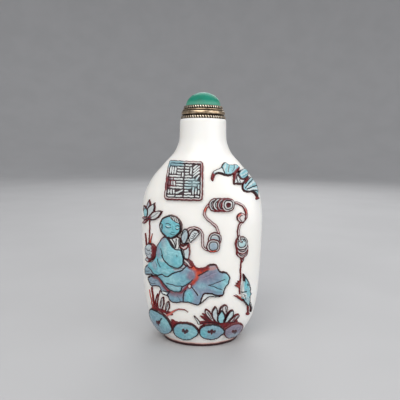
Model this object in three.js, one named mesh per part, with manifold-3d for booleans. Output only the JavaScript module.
// An overlay-glass snuff bottle with its stopper, in millimetres, +Z up.
// The origin is under the middle of the foot, on the surface that the bottle stands on, and the
// carved front faces -Y. A flattened white glass bottle carries a cameo relief of a seated figure
// on a lotus leaf with a string of coins. The stopper is a metal collar, a green glass cabochon and
// a cork plug.

import * as THREE from 'three';
import { TessellateModifier } from 'three/addons/modifiers/TessellateModifier.js';
import { mergeVertices } from 'three/addons/utils/BufferGeometryUtils.js';
import Module from 'manifold-3d';

const wasm = await Module();
wasm.setup();

// ---- driving dimensions ----

const LIP_HEIGHT = 83;
const LIP_ROUNDING = 0.6;
const FLOOR_THICKNESS = 4.5;
const FLOOR_FILLET = 3;
const FOOT_RIM_WIDTH = 2.4;
const FOOT_RECESS = 0.8;

// Stations up the glass: height, half width, half depth, squareness of the section, wall.
const STATIONS = [
  [0, 14.4, 10.4, 2, 3],
  [1.2, 14.6, 10.6, 2, 3],
  [4, 17, 11.8, 2.1, 3],
  [10, 20.1, 13.2, 2.2, 3],
  [20, 21.8, 14.2, 2.3, 3],
  [35, 22.5, 14.6, 2.35, 3],
  [46, 22.7, 14.6, 2.35, 3],
  [54, 21.9, 14.1, 2.3, 3.4],
  [61, 18.9, 12.9, 2.2, 4.2],
  [67, 14, 11, 2.1, 5],
  [71.5, 10.2, 9.4, 2, 5],
  [76, 8.7, 8.7, 2, 4.7],
  [LIP_HEIGHT, 8.5, 8.5, 2, 4.5],
];
const [WIDTH, DEPTH, SQUARENESS, WALL] = [1, 2, 3, 4];

const OUTER_RINGS = [0, 1, 3, 5.5, 10, 17, 30, 43, 50, 55.5, 60, 64, 68, 72.5, 77];
const CAVITY_RINGS = [8, 14, 30, 47, 54, 59.5, 65, 70, 76];
const OUTER_SIDES = 40;
const CAVITY_SIDES = 16;

const RELIEF_SINK = 0.7; // how far a carved form reaches into the glass, so that it fuses with it
const RELIEF_EDGE = 7; // longest edge on a carved form, so that it follows the curved glass
const CUT_CLEARANCE = 1.6; // how far a cutting form stands above the level that it cuts down to
const STRING_WIDTH = 0.8;
const COIN_RADIUS = 2.45;
const COIN_SIDES = 8;
const FULL_BLOSSOM = [165, 15, 138, 42, 112, 68, 90]; // petal angles, the lowest petal first
const SIDE_BLOSSOM = [160, 20, 125, 55, 90];

const COLLAR_RADIUS = 8.2;
const COLLAR_HEIGHT = 4.7;
const COLLAR_SIDES = 24;
const SEAT_RADIUS = 6.65;
const SEAT_DEPTH = 0.6;
const CABOCHON_RADIUS = 6.35;
const STOPPER_TOP = 92.7;
const CORK_LENGTH = 8;
const CORK_TOP_RADIUS = 3.7;
const CORK_END_RADIUS = 3.4;

const GLASS_WHITE = 0xf4f1ea;
const BRASS = 0x9a7b4f;
const GREEN_GLASS = 0x2f9d7d;
const CORK_BROWN = 0xb98a5a;

// ---- the glass surface ----

function slope(k, column) {
  return (STATIONS[k + 1][column] - STATIONS[k][column]) / (STATIONS[k + 1][0] - STATIONS[k][0]);
}

// The slope at a station, flat at a turning point, so that the outline has no bumps of its own.
function tangent(k, column) {
  if (k === 0) return slope(0, column);
  if (k === STATIONS.length - 1) return 0;
  const [before, after] = [slope(k - 1, column), slope(k, column)];
  if (before * after <= 0) return 0;
  const [runIn, runOut] = [STATIONS[k][0] - STATIONS[k - 1][0], STATIONS[k + 1][0] - STATIONS[k][0]];
  return (3 * (runIn + runOut)) / ((2 * runOut + runIn) / before + (runOut + 2 * runIn) / after);
}

// A size read off the stations at height z, with a smooth curve between them.
function station(z, column) {
  const above = STATIONS.findIndex((s) => s[0] > z);
  const k = above < 0 ? STATIONS.length - 2 : Math.max(above - 1, 0);
  const run = STATIONS[k + 1][0] - STATIONS[k][0];
  const t = (z - STATIONS[k][0]) / run;
  const s = 1 - t;
  const ends = STATIONS[k][column] * (1 + 2 * t) * s * s + STATIONS[k + 1][column] * t * t * (3 - 2 * t);
  return ends + run * (tangent(k, column) * t * s * s - tangent(k + 1, column) * t * t * s);
}

// A point of the rounded oval section at height z, at a turn counted from the front (-Y).
function sectionPoint(z, turn, inset = 0) {
  const power = 2 / station(z, SQUARENESS);
  const [s, c] = [Math.sin(turn), Math.cos(turn)];
  const x = (station(z, WIDTH) - inset) * Math.sign(s) * Math.abs(s) ** power;
  const y = -(station(z, DEPTH) - inset) * Math.sign(c) * Math.abs(c) ** power;
  return new THREE.Vector3(x, y, z);
}

// The point at arc length u from the front centre line, at height z.
function glassPoint(u, z) {
  const steps = 96;
  let left = Math.abs(u);
  let from = sectionPoint(z, 0);
  for (let i = 1; i <= steps; i++) {
    const to = sectionPoint(z, (Math.PI * i) / steps);
    const piece = from.distanceTo(to);
    if (piece >= left) {
      from.lerp(to, left / piece);
      break;
    }
    left -= piece;
    from = to;
  }
  from.x *= Math.sign(u) || 1;
  return from;
}

// The point at height h over the glass, along its normal.
function overGlass(u, z, h) {
  const step = 0.4;
  const across = glassPoint(u + step, z).sub(glassPoint(u - step, z));
  const up = glassPoint(u, z + step).sub(glassPoint(u, z - step));
  return glassPoint(u, z).addScaledVector(across.cross(up).normalize(), h);
}

// ---- solids ----

function toSolid(geometry) {
  const merged = weld(geometry);
  const vertProperties = new Float32Array(merged.attributes.position.array);
  const triVerts = new Uint32Array(merged.index.array);
  return new wasm.Manifold(new wasm.Mesh({ numProp: 3, vertProperties, triVerts }));
}

function weld(geometry) {
  geometry.deleteAttribute('normal');
  geometry.deleteAttribute('uv');
  return mergeVertices(geometry, 1e-4);
}

function toMesh(name, solid, color, roughness, metalness) {
  const { vertProperties, triVerts } = solid.getMesh();
  const geometry = new THREE.BufferGeometry();
  geometry.setAttribute('position', new THREE.BufferAttribute(vertProperties, 3));
  geometry.setIndex(new THREE.BufferAttribute(triVerts, 1));
  geometry.computeVertexNormals();
  const mesh = new THREE.Mesh(geometry, new THREE.MeshStandardMaterial({ color, roughness, metalness }));
  mesh.name = name;
  return mesh;
}

// Rings of points from the bottom up, skinned and capped at both ends.
function stackOfRings(rings) {
  const sides = rings[0].length;
  const points = rings.flat();
  for (const ring of [rings[0], rings.at(-1)]) points.push(new THREE.Vector3(0, 0, ring[0].z));
  const [bottom, top, topRing] = [points.length - 2, points.length - 1, (rings.length - 1) * sides];
  const index = [];
  for (let i = 0; i < sides; i++) {
    const j = (i + 1) % sides;
    index.push(bottom, j, i, top, topRing + i, topRing + j);
    for (let low = 0; low < topRing; low += sides) {
      index.push(low + i, low + j, low + sides + j, low + i, low + sides + j, low + sides + i);
    }
  }
  const geometry = new THREE.BufferGeometry().setFromPoints(points);
  geometry.setIndex(index);
  return toSolid(geometry);
}

// The section at height z, drawn in by an inset, and set at a height of its own where one is given.
function sectionRing(z, sides, inset = 0, height = z) {
  const turns = Array.from({ length: sides }, (_, i) => (2 * Math.PI * i) / sides);
  return turns.map((turn) => sectionPoint(z, turn, inset).setZ(height));
}

function lathe(profile, sides) {
  const points = profile.map(([r, z]) => new THREE.Vector2(r, z));
  return toSolid(new THREE.LatheGeometry(points, sides).rotateX(Math.PI / 2));
}

// ---- flat outlines, with u to the right and z up ----

const flat = (u, z) => new THREE.Vector2(u, z);

function ellipse(u, z, ru, rz, tilt = 0, sides = 11) {
  const turn = THREE.MathUtils.degToRad(tilt);
  return new THREE.EllipseCurve(u, z, ru, rz, 0, 2 * Math.PI, false, turn).getPoints(sides).slice(0, sides);
}

const disc = (u, z, r, sides = COIN_SIDES) => ellipse(u, z, r, r, 0, sides);

function smoothLine(points, closed) {
  const through = points.map(([u, z]) => new THREE.Vector3(u, z, 0));
  return new THREE.CatmullRomCurve3(through, closed, 'centripetal');
}

// A smooth closed outline through a few points.
function blob(points, samples = Math.round(1.4 * points.length)) {
  const outline = smoothLine(points, true).getPoints(samples).slice(0, samples);
  return outline.map((p) => flat(p.x, p.y));
}

// A strip of even width along a smooth line.
function ribbon(points, width = STRING_WIDTH, samples = points.length) {
  const line = smoothLine(points, false);
  const [left, right] = [[], []];
  for (let i = 0; i <= samples; i++) {
    const [at, along] = [line.getPointAt(i / samples), line.getTangentAt(i / samples)];
    const side = flat(-along.y, along.x).multiplyScalar(width / 2);
    left.unshift(flat(at.x, at.y).add(side));
    right.push(flat(at.x, at.y).sub(side));
  }
  return [...right, ...left];
}

// A petal from its base point, leaning by an angle from +u, widest past its middle, with a blunt tip.
function petal(u, z, angle, length, width, samples = 3) {
  const turn = THREE.MathUtils.degToRad(angle);
  const halfWidth = (t) => (width / 2) * Math.sin(Math.PI * t ** 1.2) ** 0.8;
  const [lower, upper] = [[], []];
  for (let i = 0; i <= samples; i++) lower.push(flat((length * i) / samples, -halfWidth(i / samples)));
  for (let i = samples - 1; i > 0; i--) upper.push(flat((length * i) / samples, halfWidth(i / samples)));
  return [...lower, ...upper].map((p) => p.rotateAround(flat(0, 0), turn).add(flat(u, z)));
}

function box(u, z, width, height) {
  const [w, h] = [width / 2, height / 2];
  return [flat(u - w, z - h), flat(u + w, z - h), flat(u + w, z + h), flat(u - w, z + h)];
}

// A carved step is an outline that is raised to a level over the glass, or cut down to one.
const raise = (level, ...outlines) => outlines.map((outline) => ({ outline, level, cut: false }));
const cut = (level, ...outlines) => outlines.map((outline) => ({ outline, level, cut: true }));

function moved(steps, du, dz) {
  return steps.map((step) => ({ ...step, outline: step.outline.map((p) => flat(p.x + du, p.y + dz)) }));
}

// ---- the carved motifs ----

// A square seal: a raised frame around four fields of plain strokes.
function seal() {
  const [u, z, width, height, frame] = [-6.3, 61.2, 13.1, 13, 1];
  const [fieldWidth, fieldHeight] = [(width - 3 * frame) / 2, (height - 3 * frame) / 2];
  const steps = raise(1, box(u, z, width, height));
  for (const column of [-1, 1]) {
    for (const row of [-1, 1]) {
      const [cu, cz] = [u + (column * (fieldWidth + frame)) / 2, z + (row * (fieldHeight + frame)) / 2];
      steps.push(...cut(0.4, box(cu, cz, fieldWidth, fieldHeight)));
      steps.push(...[-1, 0, 1].flatMap((bar) => raise(0.9, box(cu, cz + 1.55 * bar, fieldWidth - 0.8, 0.8))));
    }
  }
  const [lean, taper] = [0.03, 0.008]; // it leans right and widens towards the top, with the shoulder
  const settle = (p) => flat(u + (p.x - u) * (1 + taper * (p.y - z)) + lean * (p.y - z), p.y);
  return steps.map((step) => ({ ...step, outline: step.outline.map(settle) }));
}

// A bat with spread wings whose tips curl down.
function bat() {
  const leftWing = [[14.2, 65.4], [12.6, 66.8], [10, 66.6], [8, 67.5], [6.6, 65.9], [4.4, 65.1], [3.1, 63.4],
    [2.9, 61.3], [3.7, 61.5], [4.4, 63.5], [8.4, 62.9], [11, 63.2], [13, 63.8]];
  const rightWing = [[15.6, 61.2], [17.8, 62.4], [20.6, 61.4], [22.9, 58.4], [23, 55.4], [21.6, 54.2],
    [20.4, 56.2], [18, 57.1], [15.6, 57.2], [14.3, 59.2]];
  const trunk = [[13.2, 63.4], [10.9, 63], [11, 60.2], [14.2, 59.9], [15.6, 61.2]];
  return [
    ...raise(0.9, blob(leftWing), blob(rightWing)),
    ...raise(1.1, blob(trunk)),
    ...raise(1.4, ellipse(15.4, 63.2, 2.9, 1.9, 12, 9)),
  ];
}

// Coins that overlap in a row, each a little higher than the last, with a sunk hole in the top one.
function coins(u, z, stepU, stepZ, count) {
  const centre = (i) => [u + i * stepU, z + i * stepZ];
  const stack = Array.from({ length: count }, (_, i) => raise(0.8 + 0.2 * i, disc(...centre(i), COIN_RADIUS)));
  return [...stack.flat(), ...cut(0.4 + 0.2 * count, disc(...centre(count - 1), 0.4 * COIN_RADIUS, 4))];
}

// The string that runs from the figure's hands through three groups of coins to the toad.
function coinString() {
  const runs = [
    [[-4.6, 44.6], [-2.2, 45.1], [-0.2, 44], [0.2, 41.6], [0.4, 38.8], [2.2, 37.3], [3.6, 37.6]],
    [[5.6, 43.2], [4.9, 45.6], [3.2, 47.1], [1.4, 48.7], [0.7, 50.4], [2.6, 52.6]],
    [[9.8, 54], [12.6, 53.6], [14.4, 52.7], [15.8, 50.4], [15.6, 48.2], [14, 46.8]],
    [[14.4, 47.4], [12.9, 45], [12.9, 42.6], [13.6, 40.4]],
    [[15, 34.8], [14.2, 32], [14.2, 28], [14.2, 22]],
  ];
  return [
    ...raise(0.7, ...runs.map((run) => ribbon(run))),
    ...raise(0.8, disc(13.8, 48.7, 1.7, 7)),
    ...cut(0.3, disc(13.8, 48.7, 0.8, 4)),
    ...raise(0.9, disc(14.6, 33.2, 0.8, 5)),
    ...coins(4.6, 41.5, -0.6, -2.5, 2),
    ...coins(4.4, 53.1, 1.4, 0, 4),
    ...coins(14.5, 36.5, -0.2, 1.6, 3),
  ];
}

// A slim toad that climbs the end of the string.
function toad() {
  const body = [[15.6, 27.6], [17.4, 25.4], [18.5, 22.2], [18.7, 19.4], [18.8, 16.4], [20.3, 13.4], [20, 12.4],
    [18.6, 14.8], [16.4, 16.8], [15, 18.8], [14.5, 22], [15, 25.4]];
  const foreleg = ribbon([[14.4, 24.6], [13.4, 24.4], [12.1, 24.2]], 1.6, 2);
  const midleg = ribbon([[15, 18.6], [13.4, 19.4], [11.9, 20.3]], 0.9, 2);
  const hindleg = ribbon([[18, 15.4], [18.4, 13.6], [18.8, 11.8]], 1, 2);
  return [...raise(0.7, foreleg, midleg, hindleg), ...raise(1.1, blob(body))];
}

// The figure sits in profile and raises the string: trunk, lap, hip, forearm, hands, sleeve, head.
function seatedFigure() {
  const trunk = [[-13.8, 41.4], [-16, 38.2], [-16.8, 34.4], [-18.4, 31.6], [-14, 29.4], [-8, 29.8],
    [-4.8, 31.8], [-6, 36], [-7.6, 39.6], [-9, 41.4]];
  const hip = [[-18.2, 32.4], [-21.2, 29.8], [-22, 28.4], [-20.8, 25.2], [-18.4, 28.6], [-16, 27.6],
    [-13.4, 28.1], [-11.6, 27.5], [-9.4, 29.2], [-4.9, 31.8], [-11, 32.6]];
  const lap = [[-15.4, 27.4], [-12, 27.8], [-6, 30.2], [-3, 30], [-2.6, 28], [-5.4, 25], [-7, 22.8],
    [-9.4, 22.4], [-12.4, 23.9]];
  const forearm = [[-7, 38.4], [-4.4, 39.2], [-3.9, 37], [-4.2, 34.4], [-6.2, 34.2]];
  const held = [[-4.4, 43.6], [-2.6, 44.7], [-0.8, 43.6], [-3.8, 40], [-4.4, 41.4]];
  const sleeve = [[-12.4, 41], [-14.3, 38.6], [-13.6, 35], [-11.4, 32.1], [-8, 31.1], [-6.4, 33.6],
    [-6.7, 37.3], [-9.6, 37.8], [-10.9, 39.4]];
  return [
    ...raise(1.2, blob(trunk), blob(lap)),
    ...raise(1.35, blob(hip), blob(forearm)),
    ...raise(1, blob(held)),
    ...raise(1.3, ellipse(-5.9, 42.2, 1.5, 2.6, -10, 10)),
    ...raise(1.75, blob(sleeve)),
    ...raise(1.6, disc(-10.8, 45.4, 4.1, 14)),
    ...raise(2.1, disc(-10.8, 45.4, 3, 9)),
  ];
}

// The large lotus leaf that the figure sits on, with a lobed rim and veins from its hub.
function lotusLeaf() {
  const rim = [[-3, 30.6], [0, 31.1], [3.8, 32.5], [6.2, 30.2], [9.2, 28.9], [10.2, 26.6], [8.6, 23.6],
    [7.9, 20.9], [3.6, 20.4], [1.4, 19.1], [-1, 17.3], [-4.4, 18.1], [-7.4, 18], [-10, 17.5], [-12, 19.6],
    [-14.6, 21], [-15.6, 22.9], [-19, 22.6], [-21, 25.4], [-19, 27.4], [-10, 28.6]];
  const veins = [-100, -58, -12, 18].map((angle) => {
    const turn = THREE.MathUtils.degToRad(angle);
    const at = (r) => [-3.4 + r * Math.cos(turn), 24 + 0.75 * r * Math.sin(turn)];
    return ribbon([at(2), at(7.2)], 0.45, 1);
  });
  return [...raise(0.9, blob(rim)), ...cut(0.5, ...veins)];
}

// A lotus blossom seen from the side: outer petals low, inner petals over them.
function blossom(u, z, size, angles) {
  return angles.flatMap((angle, i) => {
    const upright = Math.sin(THREE.MathUtils.degToRad(angle));
    return raise(0.7 + 0.1 * i, petal(u, z, angle, size * (0.84 + 0.16 * upright), 0.4 * size));
  });
}

function leftLotus() {
  const stalks = [
    ribbon([[-19.6, 47], [-19.7, 42], [-20.1, 38]], 0.6, 2),
    ribbon([[-21.2, 36.6], [-21.5, 39], [-22.1, 41.4]], 0.6, 2),
    ribbon([[-19.3, 38.6], [-19, 40], [-18.6, 41.6]], 0.6, 2),
  ];
  const pod = ellipse(-19.2, 35.6, 2.3, 3.1);
  return [...raise(0.6, ...stalks), ...raise(1, pod), ...blossom(-19.8, 46.9, 7, SIDE_BLOSSOM)];
}

// Reeds with buds and a bent blade of grass that rise from the pads.
function reeds() {
  const stalks = [
    ribbon([[-18.6, 13.6], [-18.5, 17.6], [-19, 21.8]], 0.6, 3),
    ribbon([[-16.2, 13.6], [-16.1, 17.6], [-15.2, 21.2]], 0.6, 3),
    ribbon([[-11.8, 12.4], [-9.8, 14.4], [-7.4, 15.3], [-4.7, 14.6]], 0.6, 4),
  ];
  const buds = [petal(-14.1, 13.2, 92, 6.6, 1.7), petal(-12.3, 12.8, 86, 5.2, 1.7)];
  return [...raise(0.6, ...stalks), ...raise(0.8, ...buds)];
}

// A row of round lily pads.
function lilyPads(pads) {
  return pads.flatMap(([u, z, width, height, tilt = 0], i) => {
    return raise(0.9 + 0.12 * (i % 2), ellipse(u, z, width / 2, height / 2, tilt));
  });
}

function frontCarving() {
  const pads = [[-16, 8.7, 12, 9.2, -32], [-5.4, 6.9, 9.3, 7.5], [3.9, 7, 9.1, 6.6], [12.4, 6.4, 8.2, 7, 6]];
  const marks = pads.map(([u, z]) => disc(u, z + 0.3, 0.7, 4));
  return [
    ...seal(), ...bat(), ...coinString(), ...toad(), ...lotusLeaf(), ...seatedFigure(), ...leftLotus(),
    ...reeds(), ...lilyPads(pads), ...cut(0.5, ...marks), ...blossom(7.2, 9.7, 8, FULL_BLOSSOM),
  ];
}

// The back is plainer: a tall lotus with its leaf and bud over the pads, and a bat above.
function backCarving() {
  const leaf = [[2, 27], [5.4, 31.6], [10.6, 33.4], [15.6, 31.2], [17.8, 26.8], [15.4, 23], [11, 21.6],
    [6, 22.8]];
  const stalks = [
    ribbon([[-1, 9], [-2.4, 20], [-1.6, 30], [-2.4, 40]], 0.8, 6),
    ribbon([[1, 9], [5, 15.6], [8, 22.4]], 0.8, 4),
    ribbon([[-3, 9], [-8, 18], [-11.4, 27]], 0.8, 4),
  ];
  const pads = [-17, -5.6, 5.8, 17.2].map((u) => [u, 6.8, 11, 7.6]);
  return [
    ...raise(0.7, ...stalks),
    ...raise(0.9, blob(leaf)),
    ...raise(1, petal(-11.4, 26, 106, 9, 4.2)),
    ...blossom(-2.4, 38.6, 11, SIDE_BLOSSOM),
    ...lilyPads(pads),
    ...moved(bat(), -13.4, -2),
  ];
}

// ---- the nodes ----

// A carved step as a solid that follows the glass, on the front or turned to the back.
function carvedSolid({ outline, level, cut: isCut }, turned) {
  const [low, high] = isCut ? [level, level + CUT_CLEARANCE] : [-RELIEF_SINK, level];
  const prism = new THREE.ExtrudeGeometry(new THREE.Shape(outline), { depth: 1, bevelEnabled: false });
  const geometry = weld(new TessellateModifier(RELIEF_EDGE, 16).modify(prism));
  const position = geometry.attributes.position;
  for (let i = 0; i < position.count; i++) {
    const h = THREE.MathUtils.lerp(low, high, position.getZ(i));
    const point = overGlass(position.getX(i), position.getY(i), h);
    position.setXYZ(i, turned * point.x, turned * point.y, point.z);
  }
  return toSolid(geometry);
}

function carve(glass, steps, turned) {
  return steps.reduce((solid, step) => {
    const form = carvedSolid(step, turned);
    return step.cut ? solid.subtract(form) : solid.add(form);
  }, glass);
}

function glassShell() {
  const lip = sectionRing(LIP_HEIGHT, OUTER_SIDES, LIP_ROUNDING);
  const shoulder = sectionRing(LIP_HEIGHT, OUTER_SIDES, 0, LIP_HEIGHT - LIP_ROUNDING);
  return stackOfRings([...OUTER_RINGS.map((z) => sectionRing(z, OUTER_SIDES)), shoulder, lip]);
}

function cavity() {
  const at = (z, extra = 0, height = z) => sectionRing(z, CAVITY_SIDES, station(z, WALL) + extra, height);
  const fillet = 0.3 * FLOOR_FILLET;
  const floor = [at(FLOOR_THICKNESS, FLOOR_FILLET), at(FLOOR_THICKNESS + fillet, fillet)];
  return stackOfRings([...floor, ...CAVITY_RINGS.map((z) => at(z)), at(LIP_HEIGHT, 0, LIP_HEIGHT + 1)]);
}

function footRecess() {
  const at = (inset, height) => sectionRing(0, CAVITY_SIDES, inset, height);
  const rim = FOOT_RIM_WIDTH;
  return stackOfRings([at(rim, -FOOT_RECESS), at(rim, 0), at(rim + FOOT_RECESS, FOOT_RECESS)]);
}

function glassBottle() {
  const carved = carve(carve(glassShell(), frontCarving(), 1), backCarving(), -1);
  return toMesh('glass_bottle', carved.subtract(cavity()).subtract(footRecess()), GLASS_WHITE, 0.25, 0);
}

// The metal collar: a rope ring at its foot, a plain band, a thin ring and a rope ring at its rim.
function stopperCollar() {
  const [base, top] = [LIP_HEIGHT, LIP_HEIGHT + COLLAR_HEIGHT];
  const profile = [
    [0, base], [COLLAR_RADIUS - 0.2, base], [COLLAR_RADIUS, base + 0.5], [COLLAR_RADIUS - 0.2, base + 1],
    [COLLAR_RADIUS - 0.6, base + 1.2], [COLLAR_RADIUS - 0.2, base + 1.5], [COLLAR_RADIUS - 0.25, base + 2.4],
    [COLLAR_RADIUS - 0.7, base + 2.9], [COLLAR_RADIUS - 1.1, base + 3.6], [COLLAR_RADIUS - 1, base + 4.2],
    [COLLAR_RADIUS - 1.3, top], [SEAT_RADIUS, top], [SEAT_RADIUS, top - SEAT_DEPTH], [0, top - SEAT_DEPTH],
  ];
  return toMesh('stopper_collar', lathe(profile, COLLAR_SIDES), BRASS, 0.4, 1);
}

function stopperCabochon() {
  const seat = LIP_HEIGHT + COLLAR_HEIGHT - SEAT_DEPTH;
  const girdle = seat + SEAT_DEPTH;
  const dome = [0, 0.25, 0.5, 0.75, 1].map((part) => {
    const turn = (part * Math.PI) / 2;
    return [CABOCHON_RADIUS * Math.cos(turn), girdle + (STOPPER_TOP - girdle) * Math.sin(turn)];
  });
  const solid = lathe([[0, seat], [CABOCHON_RADIUS, seat], ...dome], COLLAR_SIDES);
  return toMesh('stopper_cabochon', solid, GREEN_GLASS, 0.15, 0);
}

function stopperCork() {
  const [low, high] = [LIP_HEIGHT - CORK_LENGTH, LIP_HEIGHT];
  const side = [[CORK_END_RADIUS - 0.4, low], [CORK_END_RADIUS, low + 0.4], [CORK_TOP_RADIUS, high]];
  const profile = [[0, low], ...side, [0, high]];
  return toMesh('stopper_cork', lathe(profile, CAVITY_SIDES), CORK_BROWN, 0.9, 0);
}

const group = new THREE.Group();
group.add(glassBottle(), stopperCollar(), stopperCabochon(), stopperCork());

export default group;
